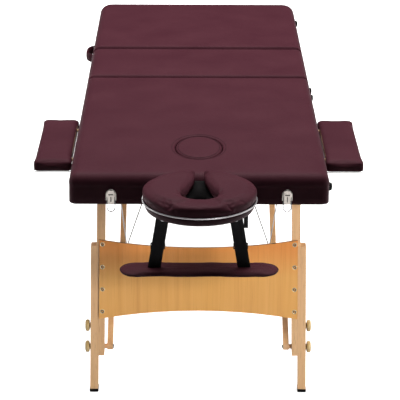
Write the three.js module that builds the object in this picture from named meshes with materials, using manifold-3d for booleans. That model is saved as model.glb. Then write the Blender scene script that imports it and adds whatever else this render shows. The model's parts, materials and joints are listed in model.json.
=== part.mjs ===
// Portable massage table: two hinged halves on folding wooden leg frames, with a lifting back
// section, a face cradle, a hanging arm shelf and two side armrests.
// Millimetres, +Z up, +X to the right. Lengths along the table are given as s, counted from the
// head end; the face cradle stands at negative s.
import * as THREE from 'three';
import { mergeVertices } from 'three/addons/utils/BufferGeometryUtils.js';
import Module from 'manifold-3d';

const wasm = await Module();
wasm.setup();

// Driving dimensions
const LENGTH = 1860;           // tabletop, end to end
const HALF_WIDTH = 350;
const TOP = 710;               // tabletop above the floor
const FOLD_S = 930;            // case fold, across the middle
const FOLD_Z = 626.5;
const BUTT = 0.03;              // half the joint between the two frames, which bear on each other
const BACK_S = 1260;           // back section's hinge
const BACK_Z = 678;
const RAIL_BOTTOM = 627.5;
const RAIL_TOP = 671.5;
const RAIL = 18;
const DECK_TOP = 676;
const PAD_BOTTOM = 676.3;
const CORNER = 45;             // plan radius of the corners at the far end
const NEAR_CORNER = 22;
const LEG_S = 150;             // leg frame's pivot
const LEG_Z = 650;
const LEG_HALF = 15;
const SPLAY = Math.tan(THREE.MathUtils.degToRad(1.2));
const EXT_TOP = 452;
const KNOBS = [203, 137];
const PIN = [156, 135];        // brace pin on the leg, s and z
const ANCHOR = [880, 656];     // brace pin on the rail block
const BRACE_HALF = 10.5;
const CRADLE_NEAR = -335;
const CRADLE_FAR = -44;
const TILT = [-60, 670];       // cradle tilt axis, s and z
const SHELF_S = -150;
const PEG_S = [320, 580];      // armrest pegs
const PEG_Z = 643;
const HOLE = { s: 235, x: 66.5, half: 99.5 }; // face hole in the tabletop

const VINYL = new THREE.MeshStandardMaterial({ color: 0x5a333b, roughness: 0.45, metalness: 0 });
const WOOD = new THREE.MeshStandardMaterial({ color: 0xcf9d68, roughness: 0.5, metalness: 0 });
const PLYWOOD = new THREE.MeshStandardMaterial({ color: 0xc48c50, roughness: 0.3, metalness: 0 });
const KNOB = new THREE.MeshStandardMaterial({ color: 0xbf9a5c, roughness: 0.4, metalness: 0 });
const BLACK = new THREE.MeshStandardMaterial({ color: 0x121214, roughness: 0.6, metalness: 0 });
const RUBBER = new THREE.MeshStandardMaterial({ color: 0x1b1a1b, roughness: 0.85, metalness: 0 });
const STEEL = new THREE.MeshStandardMaterial({ color: 0xb4b5b6, roughness: 0.3, metalness: 1 });

const root = new THREE.Group();
root.name = 'portable_massage_table';
root.position.y = -(LENGTH + CRADLE_NEAR) / 2;

function add(name, geometry, material) {
  const mesh = new THREE.Mesh(geometry, material);
  mesh.name = name;
  root.add(mesh);
}

// Booleans
function solid(geometry) {
  const plain = geometry.clone();
  plain.deleteAttribute('normal');
  plain.deleteAttribute('uv');
  const merged = mergeVertices(plain, 1e-4);
  return new wasm.Manifold(new wasm.Mesh({
    numProp: 3,
    vertProperties: new Float32Array(merged.attributes.position.array),
    triVerts: new Uint32Array(merged.index.array),
  }));
}

function geometryOf(manifold) {
  const mesh = manifold.getMesh();
  const geometry = new THREE.BufferGeometry();
  geometry.setAttribute('position', new THREE.BufferAttribute(mesh.vertProperties, 3));
  geometry.setIndex(new THREE.BufferAttribute(mesh.triVerts, 1));
  geometry.computeVertexNormals();
  return geometry;
}

const join = (...parts) => geometryOf(parts.map(solid).reduce((a, b) => a.add(b)));
const cut = (body, ...tools) => geometryOf(tools.map(solid).reduce((a, b) => a.subtract(b), solid(body)));
const common = (a, b) => geometryOf(solid(a).intersect(solid(b)));

// Shapes
function box(x, s, z) {
  const geometry = new THREE.BoxGeometry(x[1] - x[0], s[1] - s[0], z[1] - z[0]);
  return geometry.translate((x[0] + x[1]) / 2, (s[0] + s[1]) / 2, (z[0] + z[1]) / 2);
}

function prism(points, depth, holes = []) {
  const shape = new THREE.Shape(points.map(([u, v]) => new THREE.Vector2(u, v)));
  shape.holes = holes.map((h) => new THREE.Path(h.map(([u, v]) => new THREE.Vector2(u, v))));
  return new THREE.ExtrudeGeometry(shape, { depth, bevelEnabled: false });
}

// outline in (x, s), raised along z
const plate = (points, z, holes) => prism(points, z[1] - z[0], holes).translate(0, 0, z[0]);
// outline in (x, z), drawn along s
const upright = (points, s) => prism(points, s[1] - s[0]).rotateX(Math.PI / 2).translate(0, s[1], 0);
// outline in (s, z), drawn along x
function sideways(points, x) {
  const turn = new THREE.Matrix4().set(0, 0, 1, 0, 1, 0, 0, 0, 0, 1, 0, 0, 0, 0, 0, 1);
  return prism(points, x[1] - x[0]).applyMatrix4(turn).translate(x[0], 0, 0);
}

const rodX = (s, z, x, r, n = 12) =>
  new THREE.CylinderGeometry(r, r, x[1] - x[0], n).rotateZ(Math.PI / 2).translate((x[0] + x[1]) / 2, s, z);
const rodS = (x, z, s, r, n = 12) =>
  new THREE.CylinderGeometry(r, r, s[1] - s[0], n).translate(x, (s[0] + s[1]) / 2, z);

function arc(cx, cy, r, from, to, n) {
  return Array.from({ length: n + 1 }, (_, i) => {
    const a = from + ((to - from) * i) / n;
    return [cx + r * Math.cos(a), cy + r * Math.sin(a)];
  });
}

// rounded rectangle in plan; the corner radius may differ at its two ends
function plan(x, s, rNear, rFar, n = 4) {
  const q = Math.PI / 2;
  return [
    ...arc(x[1] - rFar, s[1] - rFar, rFar, 0, q, n),
    ...arc(x[0] + rFar, s[1] - rFar, rFar, q, 2 * q, n),
    ...arc(x[0] + rNear, s[0] + rNear, rNear, 2 * q, 3 * q, n),
    ...arc(x[1] - rNear, s[0] + rNear, rNear, 3 * q, 4 * q, n),
  ];
}

const oval = (x, s, rx, rs, n) =>
  Array.from({ length: n }, (_, i) => {
    const a = (2 * Math.PI * i) / n;
    return [x + rx * Math.cos(a), s + rs * Math.sin(a)];
  });

// skin through rings of equal count, closed by flat caps
function loft(rings) {
  const n = rings[0].length;
  const position = rings.flat(2);
  const index = [];
  for (let k = 0; k + 1 < rings.length; k++) {
    for (let i = 0; i < n; i++) {
      const a = k * n + i, b = k * n + ((i + 1) % n);
      index.push(a, b, b + n, a, b + n, a + n);
    }
  }
  const outline2 = (ring) => ring.map((p) => new THREE.Vector2(p[0], p[1]));
  const last = (rings.length - 1) * n;
  for (const [a, b, c] of THREE.ShapeUtils.triangulateShape(outline2(rings[0]), [])) index.push(a, c, b);
  for (const [a, b, c] of THREE.ShapeUtils.triangulateShape(outline2(rings.at(-1)), []))
    index.push(last + a, last + b, last + c);
  const geometry = new THREE.BufferGeometry();
  geometry.setAttribute('position', new THREE.Float32BufferAttribute(position, 3));
  geometry.setIndex(index);
  geometry.computeVertexNormals();
  return geometry;
}

// cushion with a rounded top edge; the two end edges may be rounded less, or slope from the hinge
function cushion({ x, s, z, radii, edge, near = edge, far = edge, steps = 4 }) {
  const rings = [z[0], ...Array.from({ length: steps + 1 }, (_, i) =>
    z[1] - edge + edge * Math.sin((Math.PI / 2) * (i / steps)))].map((h) => {
    const t = Math.max(0, (h - z[1] + edge) / edge);
    const round = 1 - Math.sqrt(Math.max(0, 1 - t * t));
    const inset = (e) => (e === 'slope' ? Math.max(0, h - BACK_Z) * 0.375 : e * round);
    const side = edge * round;
    const [r0, r1] = radii.map((r) => Math.max(3, r - side));
    return plan([x[0] + side, x[1] - side], [s[0] + inset(near), s[1] - inset(far)], r0, r1)
      .map(([px, ps]) => [px, ps, h]);
  });
  return loft(rings);
}

// shear that carries the legs outwards towards the floor, keeping level faces level
function splay(geometry, side) {
  const k = side * SPLAY;
  return geometry.applyMatrix4(new THREE.Matrix4().set(1, 0, -k, k * LEG_Z, 0, 1, 0, 0, 0, 0, 1, 0, 0, 0, 0, 1));
}

const splayAt = (z) => (LEG_Z - z) * SPLAY;
const span = (side, a, b) => (side > 0 ? [a, b] : [-b, -a]);
const SIDES = [['left', -1], ['right', 1]];
// the foot half mirrors the head half about the fold
const HALVES = [['head', (s) => s], ['foot', (s) => LENGTH - s]];
const ordered = (a, b) => (a < b ? [a, b] : [b, a]);

// ---- halves ----

function handle(s, half, rise, thick) {
  const w = -HALF_WIDTH;
  const line = [[0, 1], [0.55, 0.72], [1, 0.38], [1, -0.38], [0.55, -0.72], [0, -1]]
    .map(([h, d]) => [h, d * half]);
  const outer = line.map(([h, d]) => [w + 1 - h * rise - thick * h, s + d]);
  const inner = line.map(([h, d]) => [w + 1 - h * rise, s + d * 0.9]).reverse();
  return plate([...outer, ...inner], [632, 662]);
}

// vinyl that covers the rails on three sides, with the carry handle riveted to its left side
function skirt(name, s, carry) {
  const head = s[0] === 0;
  const radii = head ? [NEAR_CORNER, 4] : [4, CORNER];
  const inner = head ? [NEAR_CORNER - 1.7, 3] : [3, CORNER - 1.7];
  const z = [RAIL_BOTTOM - 0.2, RAIL_TOP - 0.3];
  const ring = plate(plan([-HALF_WIDTH, HALF_WIDTH], s, ...radii), z,
    [plan([-HALF_WIDTH + 1.7, HALF_WIDTH - 1.7], [s[0] + 1.7, s[1] - 1.7], ...inner)]);
  const open = head ? [s[1] - 4, s[1] + 5] : [s[0] - 5, s[0] + 4];
  add(name, cut(join(ring, carry), box([-390, 390], open, [600, 680]), ...(head ? bores() : [])), VINYL);
}

function bores() {
  return [
    ...[-330, 330].flatMap((x) => PEG_S.map((s) => rodX(s, PEG_Z, [x - 30, x + 30], 5.3, 12))),
    ...[-95, 95].map((x) => rodS(x, LEG_Z, [-10, 40], 6.3, 12)),
  ];
}

function railRing(s, radii) {
  const x = HALF_WIDTH - 2;
  const inner = radii.map((r) => Math.max(2, r - RAIL));
  return plate(plan([-x, x], s, ...radii), [RAIL_BOTTOM, RAIL_TOP],
    [plan([-x + RAIL, x - RAIL], [s[0] + RAIL, s[1] - RAIL], ...inner)]);
}

// blocks on the rails that carry the leg pivots and the braces
function blocks(at) {
  return SIDES.flatMap(([, side]) => [
    box(span(side, 281.5, 331), ordered(at(130), at(170)), [RAIL_BOTTOM + 4.5, RAIL_TOP]),
    box(span(side, 231.5, 252), ordered(at(864), at(911)), [RAIL_BOTTOM + 8.5, RAIL_TOP]),
  ]);
}

function headHalf() {
  const end = FOLD_S - BUTT;
  const deck = plate(plan([-347, 347], [2, end], NEAR_CORNER - 3, 4), [RAIL_TOP - 0.1, DECK_TOP],
    [oval(0, HOLE.s, 50, 82, 24)]);
  add('head_frame', cut(join(railRing([2, end], [NEAR_CORNER - 2, 3]), deck, ...blocks((s) => s)),
    ...bores(), ...hingeRecess()), WOOD);
  const pad = cushion({ x: [-HALF_WIDTH, HALF_WIDTH], s: [0, 928.5], z: [PAD_BOTTOM, TOP],
    radii: [NEAR_CORNER, 8], edge: 28, far: 9 });
  const hole = plate(oval(0, HOLE.s, HOLE.x, HOLE.half, 32), [600, 720]);
  add('head_pad', cut(pad, hole), VINYL);
  const plug = oval(0, HOLE.s, HOLE.x - 1.5, HOLE.half - 1.5, 32);
  const ring = (z, k) => plug.map(([x, s]) => [x * k, HOLE.s + (s - HOLE.s) * k, z]);
  add('face_plug', loft([ring(PAD_BOTTOM + 0.2, 1), ring(TOP - 6, 1), ring(TOP - 1, 0.965), ring(TOP + 1.5, 0.88)]), VINYL);
  skirt('head_skirt', [0, 929], handle(456, 100, 3.5, 3));
}

// notched strips that hold the back prop's foot
function rack(side) {
  const top = (s) => 646.2 + (1834 - s) * 0.036;
  const points = [[1000, 637], [1842, 637], [1842, top(1834)]];
  for (let s = 1812; s > 1700; s -= 26) points.push([s + 6, top(s)], [s, top(s) - 4], [s - 6, top(s)]);
  points.push([1660, 647], [940, 647], [940, 637]);
  return sideways(points, span(side, 192, 210));
}

function footHalf() {
  const end = LENGTH - 2;
  const start = FOLD_S + BUTT;
  const deck = box([-347, 347], [start, BACK_S - 2], [RAIL_TOP - 0.1, DECK_TOP]);
  const frame = join(railRing([start, end], [3, CORNER - 2]), deck, rack(-1), rack(1),
    ...blocks((s) => LENGTH - s));
  add('foot_frame', cut(frame, ...hingeRecess()), WOOD);
  add('seat_pad', cushion({ x: [-HALF_WIDTH, HALF_WIDTH], s: [931.5, BACK_S - 1.2], z: [PAD_BOTTOM, TOP],
    radii: [8, 6], edge: 28, near: 20, far: 'slope' }), VINYL);
  // the back section's board is inside its cushion, so it lifts as one piece
  add('back_pad', cushion({ x: [-HALF_WIDTH, HALF_WIDTH], s: [BACK_S + 1.2, LENGTH], z: [RAIL_TOP + 0.3, TOP],
    radii: [6, CORNER], edge: 28, near: 'slope' }), VINYL);
  skirt('foot_skirt', [931, LENGTH], handle(1404, 68, 22, 8));
}

// prop under the back board: two bars and the foot rod that rests in the racks
function backProp() {
  const pivot = 1544, foot = 1829, z = 652;
  const bars = SIDES.map(([, side]) => sideways([
    ...arc(foot, z, 8, -Math.PI / 2, Math.PI / 2, 4), ...arc(pivot, z, 8, Math.PI / 2, 1.5 * Math.PI, 4),
  ], span(side, 170, 186)));
  add('back_prop', join(...bars, rodX(foot, z, [-216, 216], 5), rodX(pivot + 30, z, [-172, 172], 6)), WOOD);
}

// room in both end rails for the hinge's leaves and knuckles
const hingeRecess = () => [
  box([-283, 283], [FOLD_S - 3.6, FOLD_S + 3.6], [620, 630.6]),
  box([-283, 283], [FOLD_S - 1.9, FOLD_S + 1.9], [620, 660.6]),
];

// long case hinge on the fold: two leaves with interleaved knuckles around one pin
function caseHinge() {
  const ends = [-280, -168, -56, 56, 168, 280];
  const knuckles = (odd) => ends.slice(0, 5).map((x, i) => [x + 0.4, ends[i + 1] - 0.4, i % 2])
    .filter((k) => k[2] === odd).map(([a, b]) => rodX(FOLD_S, FOLD_Z, [a, b], 3, 10));
  const bore = rodX(FOLD_S, FOLD_Z, [-290, 290], 1.5, 8);
  const leaf = (s) => box([-279.6, 279.6], s, [FOLD_Z, 660]);
  const gaps = (odd) => ends.slice(0, 5).map((x, i) => [x, ends[i + 1], i % 2]).filter((k) => k[2] !== odd)
    .map(([a, b]) => box([a - 0.3, b + 0.3], [924, 936], [620, 630.5]));
  add('hinge_leaf_head', cut(join(cut(leaf([928.3, 929.8]), ...gaps(0)), ...knuckles(0)), bore), STEEL);
  add('hinge_leaf_foot', cut(join(cut(leaf([930.2, 931.7]), ...gaps(1)), ...knuckles(1)), bore), STEEL);
  add('hinge_pin', rodX(FOLD_S, FOLD_Z, [-282, 282], 1.15, 8), STEEL);
}

// ---- leg frames ----

function leg(half, at, name, side) {
  const xz = [[256.5, 115], [273.1, 115], [273.1, EXT_TOP], [279.8, EXT_TOP], [279.8, 670], [256.5, 670]]
    .map(([x, z]) => [side * x, z]);
  const s = [LEG_S - LEG_HALF, LEG_S + LEG_HALF].map(at);
  const crown = arc(at(LEG_S), LEG_Z, LEG_HALF, 0, Math.PI, 6);
  const body = common(upright(xz, ordered(...s)),
    sideways([...crown, [crown[6][0], 100], [crown[0][0], 100]], span(side, 250, 290)));
  add(`${half}_leg_${name}`, splay(body, side), WOOD);
}

// outer sliding part of a leg, slotted for the two knob bolts, on its rubber foot
function extension(half, at, name, side) {
  const s = ordered(at(LEG_S - LEG_HALF), at(LEG_S + LEG_HALF));
  const mid = at(LEG_S);
  const slot = [...arc(mid, 335, 4.3, 0, Math.PI, 4), ...arc(mid, 130, 4.3, Math.PI, 2 * Math.PI, 4)];
  const bar = cut(box(span(side, 273.4, 296.2), s, [9.3, EXT_TOP - 0.5]), sideways(slot, span(side, 268, 302)));
  add(`${half}_extension_${name}`, splay(bar, side), WOOD);
  const foot = rubberFoot(side, s);
  add(`${half}_foot_${name}`, splay(foot, side), RUBBER);
}

function rubberFoot(side, s) {
  const xz = [[272.4, 2], [274.4, 0], [295.4, 0], [297.4, 2], [297.4, 9], [272.4, 9]];
  return upright(xz.map(([x, z]) => [side * x, z]), [s[0] - 1, s[1] + 1]);
}

function knobs(half, at, name, side) {
  KNOBS.forEach((z, i) => {
    const out = splayAt(z);
    const inner = 296.2 + out + 0.9;
    const cap = rodX(at(LEG_S), z, span(side, inner, inner + 14.5), 17, 18);
    const bolt = rodX(at(LEG_S), z, span(side, 274 + out, inner + 5), 3.6, 8);
    add(`${half}_knob_${i ? 'lower' : 'upper'}_${name}`, join(cap, bolt), KNOB);
  });
}

// curved plywood board screwed to the outer side of both legs
function crossPanel(half, at) {
  const bow = (x, edge, middle, n = 10) => Array.from({ length: n + 1 }, (_, i) => {
    const t = -1 + (2 * i) / n;
    return [x * t, middle + (edge - middle) * t * t];
  });
  const points = [...bow(281, 232, 258), ...bow(276, 472, 449).reverse()];
  const s = ordered(at(LEG_S - LEG_HALF - 6.3), at(LEG_S - LEG_HALF - 0.3));
  add(`${half}_panel`, upright(points, s), PLYWOOD);
}

function bar(from, to, x, half) {
  const a = Math.atan2(to[1] - from[1], to[0] - from[0]);
  return sideways([...arc(...to, half, a - Math.PI / 2, a + Math.PI / 2, 4),
    ...arc(...from, half, a + Math.PI / 2, a + 1.5 * Math.PI, 4)], x);
}

// where the two brace bars meet when the leg stands: set so that they fold flat under the deck
function knee() {
  const stowed = [LEG_S + (LEG_Z - PIN[1]), LEG_Z + (PIN[0] - LEG_S)];
  const open = Math.hypot(ANCHOR[0] - PIN[0], ANCHOR[1] - PIN[1]);
  const flat = Math.hypot(ANCHOR[0] - stowed[0], ANCHOR[1] - stowed[1]);
  const lower = (open - flat) / 2;
  return [0, 1].map((i) => PIN[i] + ((ANCHOR[i] - PIN[i]) * lower) / open);
}

function braces(half, at, name, side) {
  const [ks, kz] = knee();
  const place = ([s, z]) => [at(s), z];
  const lower = bar(place(PIN), place([ks, kz]), span(side, 243.4, 259.4), BRACE_HALF);
  const boss = rodX(at(ks), kz, span(side, 231.4, 244), 7);
  const spacer = rodX(at(PIN[0]), PIN[1], span(side, 259, 256.2 + splayAt(PIN[1] + 7)), 7);
  add(`${half}_brace_lower_${name}`, join(lower, boss, spacer), WOOD);
  add(`${half}_brace_upper_${name}`, bar(place([ks, kz]), place(ANCHOR), span(side, 215, 231), BRACE_HALF), WOOD);
  cable(half, at, name, side, [ks, kz]);
}

// steel cable held tight from the end rail over the knee to the rail at the fold
function cable(half, at, name, side, [ks, kz]) {
  const turn = new THREE.Vector3(side * 211, at(ks), kz - 1);
  const ends = [new THREE.Vector3(side * 213, at(21.8), 646), new THREE.Vector3(side * 60, at(906.2), 646)];
  const lines = ends.map((end) => {
    const length = end.distanceTo(turn);
    const along = new THREE.Quaternion().setFromUnitVectors(
      new THREE.Vector3(0, 1, 0), end.clone().sub(turn).normalize());
    return new THREE.CylinderGeometry(1.3, 1.3, length, 6).applyQuaternion(along)
      .translate(...end.clone().add(turn).multiplyScalar(0.5).toArray());
  });
  add(`${half}_cable_${name}`, join(...lines, new THREE.SphereGeometry(2.4, 8, 6).translate(...turn.toArray())), STEEL);
}

// ---- face cradle, shelf and armrests ----

function cradleFrame() {
  const rods = [-95, 95].map((x) => rodS(x, LEG_Z, [-172, 112], 6));
  const bridge = box([-99, 118], [-66, -54], [LEG_Z - 5.5, LEG_Z + 5.5]);
  const lugs = SIDES.map(([, side]) => sideways(
    [...arc(...TILT, 8, 0, Math.PI, 6), [-68, LEG_Z], [-52, LEG_Z]], span(side, 62, 72)));
  add('cradle_frame', join(...rods, bridge, ...lugs), STEEL);
}

// horseshoe outline, open towards the table, grown or shrunk by an inset
function horseshoe(inset) {
  const mid = (CRADLE_NEAR + CRADLE_FAR) / 2;
  const rx = 147 - inset, rs = (CRADLE_FAR - CRADLE_NEAR) / 2 - inset;
  const mouth = 17 + inset * 0.5;
  const a = Math.asin(mouth / rx);
  const outer = Array.from({ length: 29 }, (_, i) => {
    const t = Math.PI / 2 + a + ((2 * Math.PI - 2 * a) * i) / 28;
    return [rx * Math.cos(t), mid + rs * Math.sin(t)];
  });
  const wide = 41 + inset * 0.5;
  const near = -268 - inset * 0.5;
  const hole = [[mouth, -112], [30 + inset * 0.5, -180], [wide, -228], [wide - 1, -250], [wide - 15, near + 4],
    [14, near], [-14, near], [-wide + 15, near + 4], [-wide + 1, -250], [-wide, -228],
    [-30 - inset * 0.5, -180], [-mouth, -112]];
  return [...outer, ...hole];
}

function cradleHead() {
  const at = (z, inset) => horseshoe(inset).map(([x, s]) => [x, s, z]);
  add('cradle_cushion', loft([at(712.3, 1.5), at(722, 0), at(736, 0), at(745, 3), at(750, 8), at(752, 15)]), VINYL);
  const mid = (CRADLE_NEAR + CRADLE_FAR) / 2;
  const hole = [[0, -158], [18, -164], [32, -184], ...horseshoe(3).slice(31, 39), [-32, -184], [-18, -164]];
  const board = plate(oval(0, mid, 144, mid - CRADLE_NEAR - 3, 36), [688, 712], [hole]);
  const lugs = SIDES.map(([, side]) => sideways(
    [[-68, 690], [-68, 662], [-52, 662], [-52, 690]], span(side, 50, 61.5)));
  add('cradle_platform', join(board, ...lugs), BLACK);
  const arm = sideways([...arc(-60, LEG_Z, 7, 0, Math.PI, 6), [-64, 586], [-61, 584], [-57, 586]], [118.6, 130]);
  add('cradle_lever', arm, BLACK);
}

function armShelf() {
  const slots = SIDES.map(([, side]) => plan(span(side, 98, 141), [SHELF_S - 1.5, SHELF_S + 1.5], 0.5, 0.5, 1));
  const half = 207.5, deep = 42.5;
  const outline = (k, z) => [
    ...arc(half - deep, SHELF_S, deep - k, -Math.PI / 2, Math.PI / 2, 8),
    ...arc(-half + deep, SHELF_S, deep - k, Math.PI / 2, 1.5 * Math.PI, 8)].map(([x, s]) => [x, s, z]);
  const shelf = loft([outline(4, 495), outline(0, 498.5), outline(0, 504.5), outline(4, 508)]);
  add('arm_shelf', cut(shelf, ...slots.map((slot) => plate(slot, [480, 520]))), VINYL);
  const drops = SIDES.map(([, side]) => upright([[77.6, 642], [112.6, 642], [138, 493], [103, 493]]
    .map(([x, z]) => [side * x, z]), [SHELF_S - 0.8, SHELF_S + 0.8]));
  const under = box([-137, 137], [SHELF_S - 17.5, SHELF_S + 17.5], [492.6, 494.2]);
  add('shelf_strap', join(...drops, under), BLACK);
}

function armrests() {
  for (const [name, side] of SIDES) {
    const pad = cushion({ x: span(side, 358.5, 466), s: [256, 650], z: [626, 660],
      radii: [12, 12], edge: 9, steps: 3 });
    // room under the cushion for the board, and deeper for the batten that holds the pegs
    add(`armrest_pad_${name}`, cut(pad, box(span(side, 366, 458), [266, 640], [620, 634]),
      box(span(side, 350, 380.3), [276, 630], [620, 652.3])), VINYL);
    const board = box(span(side, 366.3, 457.7), [266.3, 639.7], [626.2, 633.7]);
    const batten = box(span(side, 362, 380), [276.3, 629.7], [626.2, 652]);
    const pegs = PEG_S.map((s) => rodX(s, PEG_Z, span(side, 332, 364), 5));
    add(`armrest_board_${name}`, join(board, batten, ...pegs), WOOD);
  }
}

// draw latches on the head end: the throw lever and its wire bail
function latches() {
  for (const [name, side] of SIDES) {
    const x = side * 236;
    add(`latch_lever_${name}`, sideways([[-3, 632], [-3, 637], [-7.5, 640.5], [-7.5, 667], [-9.5, 669],
      [-9.5, 632]], [x - 8.5, x + 8.5]), STEEL);
    const path = [[-10.6, 651], [-10.6, 618], [-6, 611.5], [0, 608.5], [6, 611.5], [10.6, 618], [10.6, 651]];
    const wires = path.slice(1).map(([bx, bz], i) => {
      const a = new THREE.Vector3(x + path[i][0], -8.5, path[i][1]);
      const b = new THREE.Vector3(x + bx, -8.5, bz);
      const turn = new THREE.Quaternion().setFromUnitVectors(new THREE.Vector3(0, 1, 0), b.clone().sub(a).normalize());
      return new THREE.CylinderGeometry(1.2, 1.2, a.distanceTo(b) + 0.8, 6).applyQuaternion(turn)
        .translate(...a.add(b).multiplyScalar(0.5).toArray());
    });
    add(`latch_bail_${name}`, join(...wires), STEEL);
  }
}

headHalf();
footHalf();
backProp();
caseHinge();
for (const [half, at] of HALVES) {
  crossPanel(half, at);
  for (const [name, side] of SIDES) {
    leg(half, at, name, side);
    extension(half, at, name, side);
    knobs(half, at, name, side);
    braces(half, at, name, side);
  }
}
cradleFrame();
cradleHead();
armShelf();
armrests();
latches();

export default root;
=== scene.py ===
"""Looks of a portable massage table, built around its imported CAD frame.

Metres, +Z up, +X to the right. Lengths along the table are given as s, counted from the head end
in millimetres, as in the CAD source; point() turns (x, s, z) in millimetres into the row frame.
"""
import json
import math

import bmesh
import bpy
from mathutils import Matrix, Vector, noise


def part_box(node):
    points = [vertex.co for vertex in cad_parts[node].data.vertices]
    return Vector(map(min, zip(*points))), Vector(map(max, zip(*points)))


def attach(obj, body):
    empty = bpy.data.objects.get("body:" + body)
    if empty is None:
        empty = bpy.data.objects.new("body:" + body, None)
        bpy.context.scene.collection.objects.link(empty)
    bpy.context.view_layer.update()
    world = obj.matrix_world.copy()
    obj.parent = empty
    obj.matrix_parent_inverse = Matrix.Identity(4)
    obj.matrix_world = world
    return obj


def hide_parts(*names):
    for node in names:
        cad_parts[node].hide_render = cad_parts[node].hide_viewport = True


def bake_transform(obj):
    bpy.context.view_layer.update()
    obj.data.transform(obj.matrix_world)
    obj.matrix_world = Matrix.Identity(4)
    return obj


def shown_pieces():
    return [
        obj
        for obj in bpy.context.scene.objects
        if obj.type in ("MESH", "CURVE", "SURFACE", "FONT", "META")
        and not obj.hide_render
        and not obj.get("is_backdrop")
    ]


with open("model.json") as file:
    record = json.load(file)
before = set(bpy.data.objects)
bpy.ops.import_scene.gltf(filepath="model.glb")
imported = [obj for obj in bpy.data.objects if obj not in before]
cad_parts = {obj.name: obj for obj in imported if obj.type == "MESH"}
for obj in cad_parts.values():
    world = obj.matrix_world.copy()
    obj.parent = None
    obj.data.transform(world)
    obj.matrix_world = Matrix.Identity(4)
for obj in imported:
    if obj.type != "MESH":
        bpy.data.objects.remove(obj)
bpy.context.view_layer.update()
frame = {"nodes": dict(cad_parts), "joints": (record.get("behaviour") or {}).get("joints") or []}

MM = 0.001
HEAD_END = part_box("head_pad")[0].y
HALVES = ("head", "foot")
SIDES = {"left": -1, "right": 1}


def millimetres(node):
    """Box of a CAD node as (x0, x1, s0, s1, z0, z1) in millimetres."""
    low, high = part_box(node)
    return (low.x / MM, high.x / MM, (low.y - HEAD_END) / MM, (high.y - HEAD_END) / MM,
            low.z / MM, high.z / MM)


def joint_place(name):
    """(s, z) of a hinge's axis in millimetres."""
    pos = next(j["pos_m"] for j in frame["joints"] if j["name"] == name)
    return (pos[1] - HEAD_END) / MM, pos[2] / MM


# Driving dimensions, all from the frame
HALF_WIDTH = millimetres("head_pad")[1]
TOP = millimetres("head_pad")[5]
LENGTH = millimetres("back_pad")[3]
RAIL_BOTTOM, RAIL_TOP = millimetres("head_skirt")[4:]
PAD_BOTTOM = millimetres("head_pad")[4]
RAIL_MIDDLE = 647
FOLD_S = joint_place("case_fold_first")[0]
CORNER = 45          # plan radius of the far corners
NEAR_CORNER = 22     # plan radius of the head end's corners
EDGE = 28            # rounding of the cushions' top edges
GROOVE = 0.375       # lean of the walls beside the back section's hinge
RIM_POINTS = 150     # points round the face cushion's outer edge
CABLE_END_S = 21.8   # where a cable leaves the end rail
BRACE_STOWED = math.radians(35.75)  # turn of the upper brace bar from standing to stowed
LEG_S, LEG_Z = joint_place("head_leg_fold")
PIN_S, PIN_Z = joint_place("head_brace_lower_turn")
ANCHOR_S, ANCHOR_Z = joint_place("head_brace_upper_turn")
TILT_S, TILT_Z = joint_place("cradle_tilt")
SPLAY = math.tan(math.radians(1.2))


def point(x, s, z):
    return Vector((x * MM, HEAD_END + s * MM, z * MM))


def along(half, s):
    """s on the head half, or its mirror place on the foot half."""
    return s if half == "head" else LENGTH - s


def splay_at(z):
    """How far out a leg stands at a height, beyond its top."""
    return (LEG_Z - z) * SPLAY


def angles(count):
    return [2 * math.pi * k / count for k in range(count)]


def placed(obj, body, slot, *nodes):
    """Make a piece ride on a body and stand for CAD nodes; the slot argument is not used."""
    if nodes:
        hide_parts(*nodes)
    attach(obj, body)
    return obj


# ---- materials ----

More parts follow.
